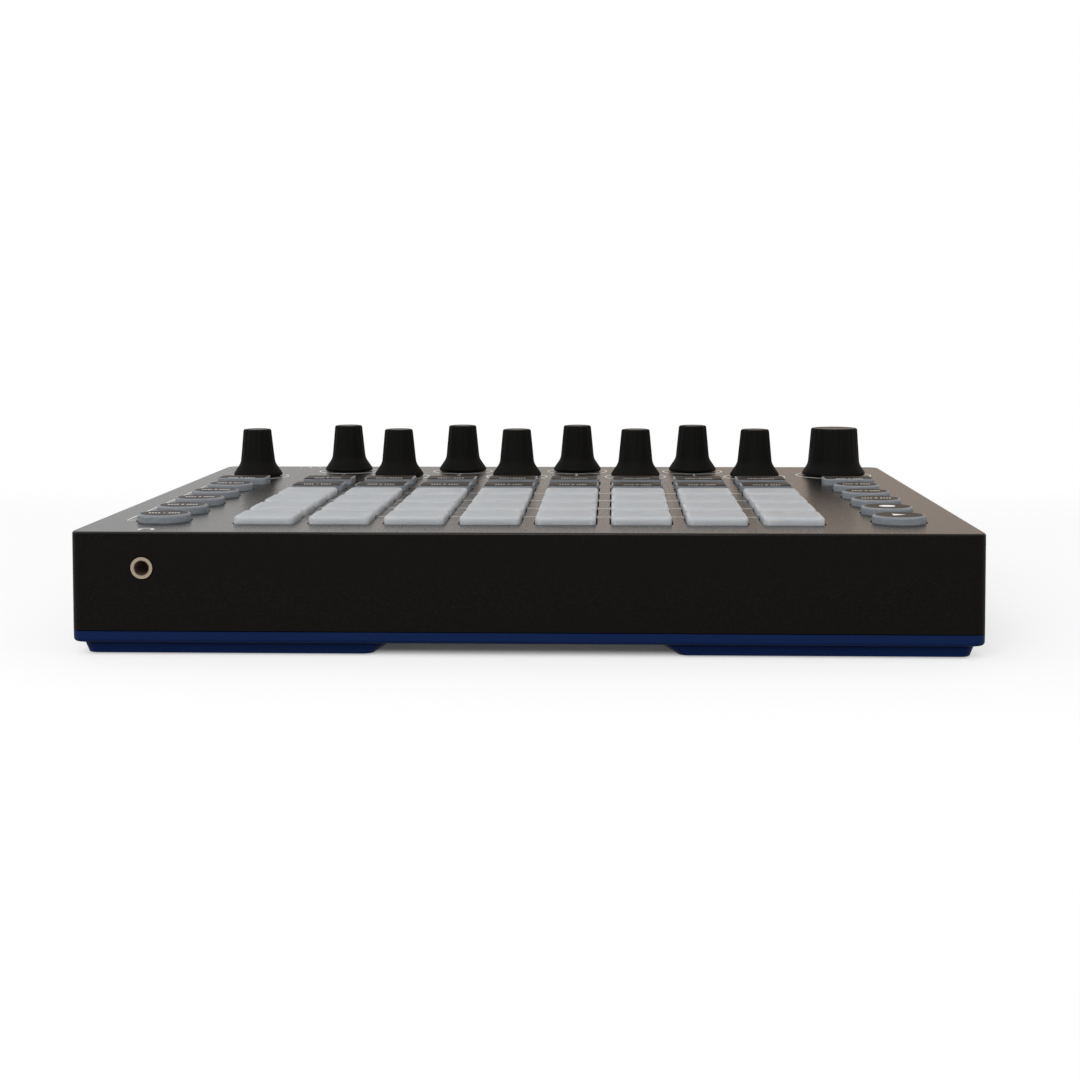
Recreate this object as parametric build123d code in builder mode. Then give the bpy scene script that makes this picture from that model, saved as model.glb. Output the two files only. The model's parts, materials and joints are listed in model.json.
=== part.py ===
"""Groovebox: a flat desktop music box with pads, keys and knobs on top and a two-part plastic case.

Millimetres. +Z is up, the player sits at -Y, and the origin is on the table under the case's centre.
The stack is built upwards: feet, base tray, battery door, cells, board, keys, panel, knobs.
"""

import os
from math import pi, radians, tan

from build123d import *

# Case
corner_radius = 3.5
wall_draft = 0.4
edge_fillet = 0.7
wall = 2.5
panel_thickness = 2.2
seam_gap = 0.25
board_to_panel = 10.3

# Base tray
foot_height = 0.5
foot_recess = 1.0
foot_length = 34.0
foot_width = 9.0
plinth_height = 3.25
plinth_inset = 2.3
plinth_draft = 1.0
plinth_wall = 2.0
plinth_corner = 3.0
channel_width = 71.2
channel_draft = 4.9
band_height = 3.0
band_fillet = 1.0
tray_floor = 2.0
lip_thickness = 1.6
lip_height = 3.0
lip_gap = 0.2

# Key grid: rows count from the player, pads first and two rows of small keys behind them
columns = 8
pad_rows = 4
key_rows = 2
pad_size = 16.5
column_gap = 4.17
row_gap = 5.3
front_margin = 26.2
side_gap = 29.155
side_margin = 19.0

# Keys
pad_corner = 1.4
pad_edge = 0.9
small_key_depth = 11.0
round_key_diameter = 14.7
key_edge = 0.8
key_rise = 2.1
key_clearance = 0.45
key_travel = 1.2
travel_spare = 0.3
flange_width = 1.0
flange_thickness = 0.9
flange_gap = 0.3
stem_size = 7.0
mat_thickness = 0.6
mat_margin = 1.0

# Knobs
key_to_knob = 24.8
knob_row_gap = 20.7
rear_margin = 19.3
filter_offset = 7.0
filter_inset = 1.0
knob_height = 16.3
knob_gap = 0.3
knob_rim = 0.9
knob_rim_fillet = 0.4
knob_flare_angle = 34.0
knob_flare_fillet = 2.0
knob_edge = 0.4
knob_skirt_diameter = 16.9
knob_waist_diameter = 12.0
knob_top_diameter = 10.0
filter_skirt_diameter = 21.8
filter_waist_diameter = 17.9
filter_top_diameter = 16.0
flute_pitch = 2.4
flute_radius = 1.1
flute_depth = 0.28
flute_share = 0.92
knob_roof = 5.4
shaft_diameter = 6.0
shaft_flat = 1.5
running_clearance = 0.05

# Rotary controls on the board
control_size = 11.8
control_height = 6.5
bush_wall = 0.45
bush_clearance = 0.25
bush_below_panel_top = 0.3
shaft_floor = 2.0

# Board and battery
board_thickness = 1.6
board_end_margin = 6.0
board_clearance = 0.5
cell_diameter = 14.0
cell_length = 50.5
cell_gap = 0.5
cell_rows = 2
cells_across = 3
cell_tip_diameter = 5.0
cell_tip_length = 1.5
cell_clearance = 0.35
bay_end_space = 3.0
bay_wall = 1.5
bay_wall_height = 9.0
bay_rear_gap = 5.0
door_thickness = 1.5
door_proud = 0.5
door_gap = 0.3
door_lift = 0.2
grip_width = 16.0
grip_setback = 5.0
grip_ribs = 5
grip_rib_width = 1.2
grip_rib_pitch = 3.0
grip_depth = 0.5

# Speaker
speaker_diameter = 40.0
speaker_front_gap = 10.0
speaker_bay_gap = 4.0
speaker_rim = 2.0
speaker_clearance = 1.05
magnet_diameter = 22.0
grille_slots = 7
grille_slot_width = 2.2
grille_slot_pitch = 4.4

# Sockets
socket_proud = 0.5
socket_clearance = 0.3
socket_floor_gap = 1.0
wall_gap = 0.3
mini_bore = 3.6
mini_ring = 5.8
mini_chamfer = 0.3
mini_width = 7.0
mini_body = 5.8
mini_length = 12.0
line_bore = 6.6
line_ring = 10.0
line_width = 13.0
line_body = 11.4
line_length = 22.0
usb_width = 12.0
usb_body = 10.9
usb_length = 16.0
usb_mouth_width = 8.6
usb_mouth_height = 7.9
usb_mouth_depth = 9.0
usb_tongue_width = 5.7
usb_tongue_height = 3.2
dc_width = 9.0
dc_body = 11.0
dc_length = 14.0
dc_ring = 8.4
dc_bore = 5.7
dc_pin = 2.1
dc_bore_depth = 9.0
switch_width = 9.0
switch_body = 8.0
switch_length = 12.0
button_diameter = 5.6
button_clearance = 0.3
button_length = 9.0
button_edge = 0.3
lock_slot_width = 7.0
lock_slot_height = 3.0
lock_slot_corner = 1.0

# Socket places, from the left end of the case, or from the right end for the outputs and the lock slot
headphone_gap = 2.2
button_inset = 28.0
dc_inset = 45.0
usb_inset = 67.0
mini_inset = 91.0
mini_pitch = 17.0
mini_count = 3
line_inset = 36.0
line_pitch = 22.0
line_count = 2
lock_slot_inset = 16.0

# Fasteners
screw_inset = 10.5
screw_end_inset = 9.0
boss_diameter = 6.0
screw_shank = 2.6
screw_hole = 3.2
screw_head = 5.4
screw_head_height = 2.0
screw_length = 12.0
head_recess = 0.6
post_diameter = 5.0
post_setback = 9.5
post_columns = 3
rib_thickness = 1.2
rib_clearance = 0.3

# The case is as wide as the keys need, and as deep as the keys and knobs above or the speaker and cells below
# Its walls lean out to the band at their foot
column_pitch = pad_size + column_gap
row_pitch = pad_size + row_gap
case_width = (columns - 1) * column_pitch + 2 * (side_gap + side_margin)
bay_width = cells_across * cell_diameter + (cells_across + 1) * cell_gap
bay_length = cell_rows * cell_length + (cell_rows + 1) * bay_end_space
plug_reach = wall + wall_gap + socket_proud
keys_depth = front_margin + (pad_rows + key_rows - 1) * row_pitch
panel_depth = keys_depth + key_to_knob + knob_row_gap + rear_margin
socket_depth = wall + wall_gap + line_length + bay_rear_gap
speaker_room = speaker_front_gap + speaker_diameter + speaker_bay_gap
under_depth = speaker_room + bay_length + 2 * bay_wall + socket_depth
case_depth = max(panel_depth, under_depth)
band_width = case_width + 2 * wall_draft
band_depth = case_depth + 2 * wall_draft

# Heights, from the table upwards: the board clears the cells and the tallest socket
band_bottom = foot_height + plinth_height
seam_height = band_bottom + band_height
case_bottom = seam_height + seam_gap
floor_top = band_bottom + tray_floor
door_bottom = band_bottom - door_proud
door_top = door_bottom + door_thickness
cell_bottom = door_top + door_lift
cells_need = cell_bottom + cell_diameter + cell_clearance
sockets_need = seam_height + socket_floor_gap + max(line_body, usb_body, dc_body)
board_bottom = max(cells_need, sockets_need)
board_top = board_bottom + board_thickness
mat_top = board_top + mat_thickness
panel_underside = board_top + board_to_panel
panel_top = panel_underside + panel_thickness
shell_height = panel_top - case_bottom
flange_top = panel_underside - flange_gap
flange_bottom = flange_top - flange_thickness
key_top = panel_top + key_rise
stem_bottom = mat_top + key_travel + travel_spare

# Places on the panel
left_end = -case_width / 2
right_end = case_width / 2
front_wall = -case_depth / 2
rear_wall = case_depth / 2
column_xs = [(i - (columns - 1) / 2) * column_pitch for i in range(columns)]
row_ys = [front_wall + front_margin + i * row_pitch for i in range(pad_rows + key_rows)]
pad_ys = row_ys[:pad_rows]
small_key_ys = row_ys[pad_rows:]
round_key_ys = row_ys[:-1]
side_x = column_xs[-1] + side_gap
front_knob_y = row_ys[-1] + key_to_knob
rear_knob_y = front_knob_y + knob_row_gap
pad_places = [(x, y) for y in pad_ys for x in column_xs]
small_key_places = [(x, y) for y in small_key_ys for x in column_xs]
corner_key_places = [(side * side_x, row_ys[-1]) for side in (-1, 1)]
round_key_places = [(side * side_x, y) for side in (-1, 1) for y in round_key_ys]
macro_places = [(x, (rear_knob_y, front_knob_y)[i % 2]) for i, x in enumerate(column_xs)]
volume_place = (-side_x, front_knob_y)
filter_place = (side_x - filter_inset, front_knob_y + filter_offset)
control_places = [*macro_places, volume_place, filter_place]

# Openings and room inside the case
hole_corner = pad_corner + key_clearance
pad_hole = pad_size + 2 * key_clearance
small_key_hole = small_key_depth + 2 * key_clearance
inner_width = case_width - 2 * wall
inner_depth = case_depth - 2 * wall
inner_corner = max(corner_radius - wall, lip_gap)
bush_diameter = shaft_diameter + 2 * (running_clearance + bush_wall)
shaft_in_knob = knob_height - knob_roof

# Fastener places: screws in the corners and between the keys and the knobs, posts between the columns
screw_x = right_end - screw_inset
middle_screw_y = (row_ys[-1] + front_knob_y) / 2
screw_ys = (front_wall + screw_end_inset, middle_screw_y, rear_wall - screw_end_inset)
screw_places = [(side * screw_x, y) for side in (-1, 1) for y in screw_ys]
post_ys = (front_wall + post_setback, rear_wall - post_setback)
post_places = [(i * column_pitch, y) for y in post_ys for i in (-post_columns, 0, post_columns)]
rib_ys = [(near + far) / 2 for near, far in zip(row_ys, row_ys[1:])]
rib_length = column_xs[-1] - column_xs[0] + pad_size
rib_bottom = mat_top + rib_clearance
board_width = 2 * (screw_x - boss_diameter / 2 - board_clearance)

# Socket, bay and speaker places
headphone_x = mini_width / 2 + headphone_gap + boss_diameter / 2 - screw_x
button_x = left_end + button_inset
dc_x = left_end + dc_inset
usb_x = left_end + usb_inset
mini_xs = [left_end + mini_inset + i * mini_pitch for i in range(mini_count)]
line_xs = [right_end - line_inset - i * line_pitch for i in range(line_count)]
lock_slot_x = right_end - lock_slot_inset
front_mini_z = board_top + mini_body / 2
rear_mini_z = board_bottom - mini_body / 2
line_z = board_bottom - line_body / 2
usb_z = board_bottom - usb_body / 2
dc_z = board_bottom - dc_body / 2
button_z = board_bottom - switch_body / 2
bay_y = rear_wall - socket_depth - bay_wall - bay_length / 2
speaker_y = bay_y - bay_length / 2 - bay_wall - speaker_bay_gap - speaker_diameter / 2

os.makedirs("parts", exist_ok=True)


def save(shape, name):
    """Labels a finished piece and writes its file."""
    shape.label = name
    export_step(shape, f"parts/{name}.step")


def group(solids, name):
    """Writes several separate solids as one node."""
    save(Compound(children=list(solids)), name)


def wall_plane(y, z, x=0.0):
    """A sketch plane on an upright wall facing the player, with its local Y up and its normal towards -Y."""
    return Plane(origin=(x, y, z), x_dir=(1, 0, 0), z_dir=(0, -1, 0))


# Top case: one moulding with the panel, leaning walls, screw bosses, board posts and ribs between the key rows
with BuildPart() as top_case:
    with BuildSketch(Plane.XY.offset(case_bottom)):
        RectangleRounded(band_width, band_depth, corner_radius)
    with BuildSketch(Plane.XY.offset(panel_top)):
        RectangleRounded(case_width, case_depth, corner_radius)
    loft(ruled=True)
    fillet(top_case.faces().sort_by(Axis.Z)[-1].edges(), edge_fillet)
    with BuildSketch(Plane.XY.offset(case_bottom)):
        RectangleRounded(inner_width, inner_depth, inner_corner)
    extrude(amount=shell_height - panel_thickness, mode=Mode.SUBTRACT)
    with BuildSketch(Plane.XY.offset(seam_height)):
        with Locations(*screw_places):
            Circle(boss_diameter / 2)
    extrude(amount=panel_underside - seam_height)
    with BuildSketch(Plane.XY.offset(board_top)):
        with Locations(*post_places):
            Circle(post_diameter / 2)
    extrude(amount=panel_underside - board_top)
    with BuildSketch(Plane.XY.offset(rib_bottom)):
        with Locations(*[(0, y) for y in rib_ys]):
            Rectangle(rib_length, rib_thickness)
    extrude(amount=panel_underside - rib_bottom)
    with BuildSketch(Plane.XY.offset(panel_underside)):
        with Locations(*pad_places):
            RectangleRounded(pad_hole, pad_hole, hole_corner)
        with Locations(*small_key_places, *corner_key_places):
            RectangleRounded(pad_hole, small_key_hole, hole_corner)
        with Locations(*round_key_places):
            Circle(round_key_diameter / 2 + key_clearance)
        with Locations(*control_places):
            Circle(bush_diameter / 2 + bush_clearance)
    extrude(amount=panel_thickness, mode=Mode.SUBTRACT)
    with BuildSketch(Plane.XY.offset(seam_height)):
        with Locations(*screw_places):
            Circle(screw_shank / 2)
    extrude(amount=screw_length, mode=Mode.SUBTRACT)
    with BuildSketch(wall_plane(front_wall - wall_draft, front_mini_z)):
        with Locations((headphone_x, 0)):
            Circle(mini_ring / 2 + socket_clearance)
    extrude(amount=-wall - wall_draft, mode=Mode.SUBTRACT)
    with BuildSketch(wall_plane(rear_wall + wall_draft, board_bottom)):
        with Locations(*[(x, rear_mini_z - board_bottom) for x in mini_xs]):
            Circle(mini_ring / 2 + socket_clearance)
        with Locations(*[(x, line_z - board_bottom) for x in line_xs]):
            Circle(line_ring / 2 + socket_clearance)
        with Locations((usb_x, usb_z - board_bottom)):
            Rectangle(usb_width + 2 * socket_clearance, usb_body + 2 * socket_clearance)
        with Locations((dc_x, dc_z - board_bottom)):
            Circle(dc_ring / 2 + socket_clearance)
        with Locations((button_x, button_z - board_bottom)):
            Circle(button_diameter / 2 + button_clearance)
        with Locations((lock_slot_x, line_z - board_bottom)):
            RectangleRounded(lock_slot_width, lock_slot_height, lock_slot_corner)
    extrude(amount=wall + wall_draft, mode=Mode.SUBTRACT)
save(top_case.part, "top_case")

# Base tray: a band under the case, two drafted plinths, a locating lip, the cells' bay and a speaker grille
plinth_outer = band_width / 2 - plinth_inset
plinth_inner = channel_width / 2
plinth_depth = band_depth - 2 * plinth_inset
with BuildPart() as base_tray:
    with BuildSketch(Plane.XY.offset(band_bottom)):
        RectangleRounded(band_width, band_depth, corner_radius)
    extrude(amount=band_height)
    fillet(base_tray.faces().sort_by(Axis.Z)[0].edges(), band_fillet)
    for side in (-1, 1):
        with BuildSketch(Plane.XY.offset(band_bottom)):
            with Locations((side * (plinth_outer + plinth_inner) / 2, 0)):
                RectangleRounded(plinth_outer - plinth_inner, plinth_depth, plinth_corner)
        foot_outer = plinth_outer - plinth_draft
        foot_inner = plinth_inner + channel_draft
        with BuildSketch(Plane.XY.offset(foot_height)):
            with Locations((side * (foot_outer + foot_inner) / 2, 0)):
                RectangleRounded(foot_outer - foot_inner, plinth_depth - 2 * plinth_draft, plinth_corner)
        loft(ruled=True)
    lip_width = inner_width - 2 * lip_gap
    lip_depth = inner_depth - 2 * lip_gap
    with BuildSketch(Plane.XY.offset(seam_height)):
        RectangleRounded(lip_width, lip_depth, inner_corner)
    extrude(amount=lip_height)
    with BuildSketch(Plane.XY.offset(floor_top)):
        RectangleRounded(lip_width - 2 * lip_thickness, lip_depth - 2 * lip_thickness, inner_corner)
    extrude(amount=seam_height + lip_height - floor_top, mode=Mode.SUBTRACT)
    pocket_outer = foot_outer - plinth_wall
    pocket_inner = foot_inner + plinth_wall
    with BuildSketch(Plane.XY.offset(foot_height + foot_recess + plinth_wall)):
        with Locations(*[(side * (pocket_outer + pocket_inner) / 2, 0) for side in (-1, 1)]):
            Rectangle(pocket_outer - pocket_inner, plinth_depth - 2 * (plinth_draft + plinth_wall))
    extrude(amount=floor_top - foot_height - foot_recess - plinth_wall, mode=Mode.SUBTRACT)
    with BuildSketch(Plane.XY.offset(foot_height)):
        with Locations(*screw_places):
            Circle(boss_diameter / 2)
    extrude(amount=seam_height - foot_height)
    with BuildSketch(Plane.XY.offset(band_bottom)):
        with Locations((0, bay_y)):
            Rectangle(bay_width + 2 * bay_wall, bay_length + 2 * bay_wall)
    extrude(amount=bay_wall_height)
    with BuildSketch(Plane.XY.offset(band_bottom)):
        with Locations((0, bay_y)):
            Rectangle(bay_width, bay_length)
        with Locations((0, speaker_y)):
            with GridLocations(0, grille_slot_pitch, 1, grille_slots):
                SlotOverall(speaker_diameter - grille_slots * grille_slot_width, grille_slot_width)
    extrude(amount=bay_wall_height, mode=Mode.SUBTRACT)
    foot_places = [
        (side * (foot_outer + foot_inner) / 2, end * (plinth_depth / 2 - plinth_draft - foot_width))
        for side in (-1, 1)
        for end in (-1, 1)
    ]
    with BuildSketch(Plane.XY.offset(foot_height)):
        with Locations(*foot_places):
            SlotOverall(foot_length, foot_width)
    extrude(amount=foot_recess, mode=Mode.SUBTRACT)
    with BuildSketch(Plane.XY.offset(foot_height)):
        with Locations(*screw_places):
            Circle(screw_hole / 2)
    extrude(amount=seam_height - foot_height, mode=Mode.SUBTRACT)
    with BuildSketch(Plane.XY.offset(foot_height)):
        with Locations(*screw_places):
            Circle(screw_head / 2 + socket_clearance)
    extrude(amount=head_recess + screw_head_height, mode=Mode.SUBTRACT)
    rear_notch = max(line_xs) + line_width - (button_x - switch_width)
    with BuildSketch(Plane.XY.offset(seam_height)):
        with Locations(((max(line_xs) + line_width + button_x - switch_width) / 2, rear_wall)):
            Rectangle(rear_notch, 2 * (wall + lip_gap + 2 * lip_thickness))
    extrude(amount=lip_height, mode=Mode.SUBTRACT)
save(base_tray.part, "base_tray")

# Rubber feet, set into the plinths
with BuildPart() as rubber_feet:
    with BuildSketch():
        with Locations(*foot_places):
            SlotOverall(foot_length, foot_width)
    extrude(amount=foot_height + foot_recess)
group(rubber_feet.solids(), "rubber_feet")

# Case screws, driven up through the tray into the top case's bosses
head_seat = foot_height + head_recess + screw_head_height
with BuildPart() as case_screws:
    with BuildSketch(Plane.XY.offset(foot_height + head_recess)):
        with Locations(*screw_places):
            Circle(screw_head / 2)
    extrude(amount=screw_head_height)
    with BuildSketch(Plane.XY.offset(head_seat)):
        with Locations(*screw_places):
            Circle(screw_shank / 2)
    extrude(amount=screw_length)
group(case_screws.solids(), "case_screws")

# Battery door: a plate with a round rear edge that it swings on and finger grips at the front
door_width = bay_width - 2 * door_gap
door_length = bay_length - 2 * door_gap
door_front = bay_y - door_length / 2
door_rear = bay_y + door_length / 2
hinge_y = door_rear - door_thickness / 2
hinge_z = door_bottom + door_thickness / 2
with BuildPart() as battery_door:
    with BuildSketch(Plane.YZ.offset(-door_width / 2)):
        with BuildLine():
            Polyline(
                (hinge_y, door_top),
                (door_front, door_top),
                (door_front, door_bottom),
                (hinge_y, door_bottom),
            )
            ThreePointArc((hinge_y, door_bottom), (door_rear, hinge_z), (hinge_y, door_top))
        make_face()
    extrude(amount=door_width)
    with BuildSketch(Plane.XY.offset(door_bottom)):
        with Locations((0, door_front + grip_setback)):
            with GridLocations(0, grip_rib_pitch, 1, grip_ribs, align=(Align.CENTER, Align.MIN)):
                Rectangle(grip_width, grip_rib_width)
    extrude(amount=grip_depth, mode=Mode.SUBTRACT)
save(battery_door.part, "battery_door")

# Battery cells, lying front to back in the bay
cell_z = cell_bottom + cell_diameter / 2
with BuildPart() as battery_cells:
    for row in range(cell_rows):
        cell_y = bay_y - bay_length / 2 + bay_end_space + row * (cell_length + bay_end_space)
        with BuildSketch(wall_plane(cell_y, cell_z)):
            with GridLocations(cell_diameter + cell_gap, 0, cells_across, 1):
                Circle(cell_diameter / 2)
        extrude(amount=cell_tip_length - cell_length)
        with BuildSketch(wall_plane(cell_y + cell_length, cell_z)):
            with GridLocations(cell_diameter + cell_gap, 0, cells_across, 1):
                Circle(cell_tip_diameter / 2)
        extrude(amount=cell_tip_length)
group(battery_cells.solids(), "battery_cells")

# Speaker, facing down over the grille
speaker_depth = board_bottom - floor_top - speaker_clearance
with BuildPart() as speaker:
    with BuildSketch(Plane.XY.offset(floor_top)):
        with Locations((0, speaker_y)):
            Circle(speaker_diameter / 2)
    extrude(amount=speaker_rim)
    with BuildSketch(Plane.XY.offset(floor_top + speaker_rim)):
        with Locations((0, speaker_y)):
            Circle(speaker_diameter / 2 - speaker_rim)
    with BuildSketch(Plane.XY.offset(floor_top + speaker_depth / 2)):
        with Locations((0, speaker_y)):
            Circle(magnet_diameter / 2)
    loft()
    with BuildSketch(Plane.XY.offset(floor_top + speaker_depth / 2)):
        with Locations((0, speaker_y)):
            Circle(magnet_diameter / 2)
    extrude(amount=speaker_depth / 2)
save(speaker.part, "speaker")

# Main board, hung from the top case's posts
with BuildPart() as main_board:
    with BuildSketch(Plane.XY.offset(board_bottom)):
        Rectangle(board_width, case_depth - 2 * board_end_margin)
    extrude(amount=board_thickness)
save(main_board.part, "main_board")

# Key mat: a silicone sheet on the board under every key
mat_front = row_ys[0] - pad_size / 2 - flange_width
mat_rear = row_ys[-1] + pad_size / 2
with BuildPart() as key_mat:
    with BuildSketch(Plane.XY.offset(board_top)):
        with Locations((0, (mat_front + mat_rear) / 2)):
            RectangleRounded(board_width - 2 * mat_margin, mat_rear - mat_front, pad_corner)
    extrude(amount=mat_thickness)
save(key_mat.part, "key_mat")

# Rotary controls: a square body on the board and a bush up into the panel
control_top = board_top + control_height
bush_top = panel_top - bush_below_panel_top
with BuildPart() as rotary_controls:
    with BuildSketch(Plane.XY.offset(board_top)):
        with Locations(*control_places):
            Rectangle(control_size, control_size)
    extrude(amount=control_height)
    with BuildSketch(Plane.XY.offset(control_top)):
        with Locations(*control_places):
            Circle(bush_diameter / 2)
    extrude(amount=bush_top - control_top)
    with BuildSketch(Plane.XY.offset(board_top + shaft_floor)):
        with Locations(*control_places):
            Circle(shaft_diameter / 2 + running_clearance)
    extrude(amount=bush_top - board_top - shaft_floor, mode=Mode.SUBTRACT)
group(rotary_controls.solids(), "rotary_controls")


def mini_jack(x, y, z, facing):
    """A 3.5 mm socket: a box behind the wall and a ring through it. facing -1 looks to the player."""
    mouth = y + facing * socket_proud
    ring_foot = y - facing * (wall + wall_gap)
    with BuildPart() as jack:
        with BuildSketch(wall_plane(ring_foot, z, x)):
            Rectangle(mini_width, mini_body)
        extrude(amount=facing * mini_length)
        with BuildSketch(wall_plane(ring_foot, z, x)):
            Circle(mini_ring / 2)
        extrude(amount=-facing * plug_reach)
        with BuildSketch(wall_plane(mouth, z, x)):
            Circle(mini_bore / 2)
        extrude(amount=facing * mini_length, mode=Mode.SUBTRACT)
        rims = jack.edges().filter_by(GeomType.CIRCLE).filter_by_position(Axis.Y, mouth, mouth)
        chamfer(rims.sort_by(SortBy.RADIUS)[0], mini_chamfer)
    return jack.part


mini_jacks = [mini_jack(headphone_x, front_wall, front_mini_z, -1)]
mini_jacks += [mini_jack(x, rear_wall, rear_mini_z, 1) for x in mini_xs]
group(mini_jacks, "mini_jacks")


def line_jack(x):
    """A 6.35 mm output socket under the board, with its ring through the rear wall."""
    ring_foot = rear_wall - wall - wall_gap
    with BuildPart() as jack:
        with BuildSketch(wall_plane(ring_foot, line_z, x)):
            Rectangle(line_width, line_body)
        extrude(amount=line_length)
        with BuildSketch(wall_plane(ring_foot, line_z, x)):
            Circle(line_ring / 2)
        extrude(amount=-plug_reach)
        with BuildSketch(wall_plane(rear_wall + socket_proud, line_z, x)):
            Circle(line_bore / 2)
        extrude(amount=line_length, mode=Mode.SUBTRACT)
    return jack.part


group([line_jack(x) for x in line_xs], "line_jacks")

# USB socket: a square shell with a tongue inside its mouth
with BuildPart() as usb_socket:
    with BuildSketch(wall_plane(rear_wall, usb_z, usb_x)):
        Rectangle(usb_width, usb_body)
    extrude(amount=usb_length)
    with BuildSketch(wall_plane(rear_wall, usb_z, usb_x)):
        Rectangle(usb_mouth_width, usb_mouth_height)
        Rectangle(usb_tongue_width, usb_tongue_height, mode=Mode.SUBTRACT)
    extrude(amount=usb_mouth_depth, mode=Mode.SUBTRACT)

# Power inlet: a round barrel with its centre pin
with BuildPart() as dc_socket:
    with BuildSketch(wall_plane(rear_wall - wall - wall_gap, dc_z, dc_x)):
        Rectangle(dc_width, dc_body)
    extrude(amount=dc_length)
    with BuildSketch(wall_plane(rear_wall - wall - wall_gap, dc_z, dc_x)):
        Circle(dc_ring / 2)
    extrude(amount=-wall - wall_gap)
    with BuildSketch(wall_plane(rear_wall, dc_z, dc_x)):
        Circle(dc_bore / 2)
        Circle(dc_pin / 2, mode=Mode.SUBTRACT)
    extrude(amount=dc_bore_depth, mode=Mode.SUBTRACT)

# Power switch body, with the bore that the push button slides in
with BuildPart() as switch_housing:
    with BuildSketch(wall_plane(rear_wall - wall - wall_gap, button_z, button_x)):
        Rectangle(switch_width, switch_body)
        Circle(button_diameter / 2 + button_clearance, mode=Mode.SUBTRACT)
    extrude(amount=switch_length)
group([usb_socket.part, dc_socket.part, switch_housing.part], "rear_ports")

# Power button, a round plunger nearly flush with the rear wall
with BuildPart() as power_button:
    with BuildSketch(wall_plane(rear_wall + socket_proud, button_z, button_x)):
        Circle(button_diameter / 2)
    extrude(amount=button_length)
    fillet(power_button.faces().sort_by(Axis.Y)[-1].edges(), button_edge)
save(power_button.part, "power_button")


def key(width, depth, corner, edge):
    """A key at the origin: a cap over the panel, a flange that stops under it and a stem to the board."""

    def plan(grow):
        if corner:
            RectangleRounded(width + 2 * grow, depth + 2 * grow, corner + grow)
        else:
            Circle(width / 2 + grow)

    with BuildPart() as cap:
        with BuildSketch(Plane.XY.offset(flange_bottom)):
            plan(0)
        extrude(amount=key_top - flange_bottom)
        fillet(cap.faces().sort_by(Axis.Z)[-1].edges(), edge)
        with BuildSketch(Plane.XY.offset(flange_bottom)):
            plan(flange_width)
        extrude(amount=flange_thickness)
        with BuildSketch(Plane.XY.offset(stem_bottom)):
            Rectangle(stem_size, stem_size)
        extrude(amount=flange_bottom - stem_bottom)
    return cap.part


def copies(shape, places):
    """Copies of a piece drawn at the origin, one at each place on the panel."""
    return [shape.moved(Location((x, y, 0))) for x, y in places]


pad = key(pad_size, pad_size, pad_corner, pad_edge)
small_key = key(pad_size, small_key_depth, pad_corner, key_edge)
round_key = key(round_key_diameter, round_key_diameter, 0, key_edge)

# Playing pads, one node each
for row, y in enumerate(pad_ys, start=1):
    for column, piece in enumerate(copies(pad, [(x, y) for x in column_xs]), start=1):
        save(piece, f"pad_row{row}_col{column}")

# Small keys behind the pads, a node for each row
for name, y in zip(("function_keys_front", "function_keys_rear"), small_key_ys):
    group(copies(small_key, [(x, y) for x in column_xs]), name)

# Side keys: a column of round ones with a rectangular one behind it
for name, x in (("left_keys", -side_x), ("right_keys", side_x)):
    round_ones = copies(round_key, [(x, y) for y in round_key_ys])
    group(round_ones + copies(small_key, [(x, row_ys[-1])]), name)


def shaft_section():
    """The shaft's end: a circle with one flat, drawn in the sketch that is open."""
    Circle(shaft_diameter / 2)
    with Locations((0, shaft_diameter / 2)):
        Rectangle(shaft_diameter, 2 * shaft_flat, mode=Mode.SUBTRACT)


knob_base = panel_top + knob_gap
knob_crown = knob_base + knob_height


def knob_cap(skirt, waist, top):
    """A fluted grip with a flared skirt at the origin, bored for the flatted shaft."""
    flare_height = knob_rim + (skirt - waist) / 2 / tan(radians(knob_flare_angle))
    grip = Vector((waist - top) / 2, 0, flare_height - knob_height)
    flutes = 2 * round(pi * waist / flute_pitch / 2)
    with BuildPart() as cap:
        with BuildSketch(wall_plane(0, knob_base)):
            with BuildLine():
                outline = FilletPolyline(
                    (0, 0),
                    (skirt / 2, 0),
                    (skirt / 2, knob_rim),
                    (waist / 2, flare_height),
                    (top / 2, knob_height),
                    (0, knob_height),
                    radius=[knob_rim_fillet, knob_rim_fillet, knob_flare_fillet, knob_edge],
                )
                Line(outline @ 1, outline @ 0)
            make_face()
        revolve(axis=Axis.Z)
        for i in range(flutes):
            turn = 360 / flutes * i
            along = grip.normalized().rotate(Axis.Z, turn)
            outward = Vector(top / 2 + flute_radius - flute_depth, 0, knob_crown).rotate(Axis.Z, turn)
            with BuildSketch(Plane(origin=outward - along * flute_radius, z_dir=along)):
                Circle(flute_radius)
        extrude(amount=flute_radius + flute_share * grip.length, mode=Mode.SUBTRACT)
        with BuildSketch(Plane.XY.offset(knob_base)):
            shaft_section()
        extrude(amount=shaft_in_knob, mode=Mode.SUBTRACT)
    return cap.part


# Control shaft: round in its bush and flatted where a knob is pressed on
shaft_bottom = board_top + shaft_floor + travel_spare
with BuildPart() as shaft:
    with BuildSketch(Plane.XY.offset(shaft_bottom)):
        Circle(shaft_diameter / 2)
    extrude(amount=knob_base - shaft_bottom)
    with BuildSketch(Plane.XY.offset(knob_base)):
        shaft_section()
    extrude(amount=shaft_in_knob)

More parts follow.
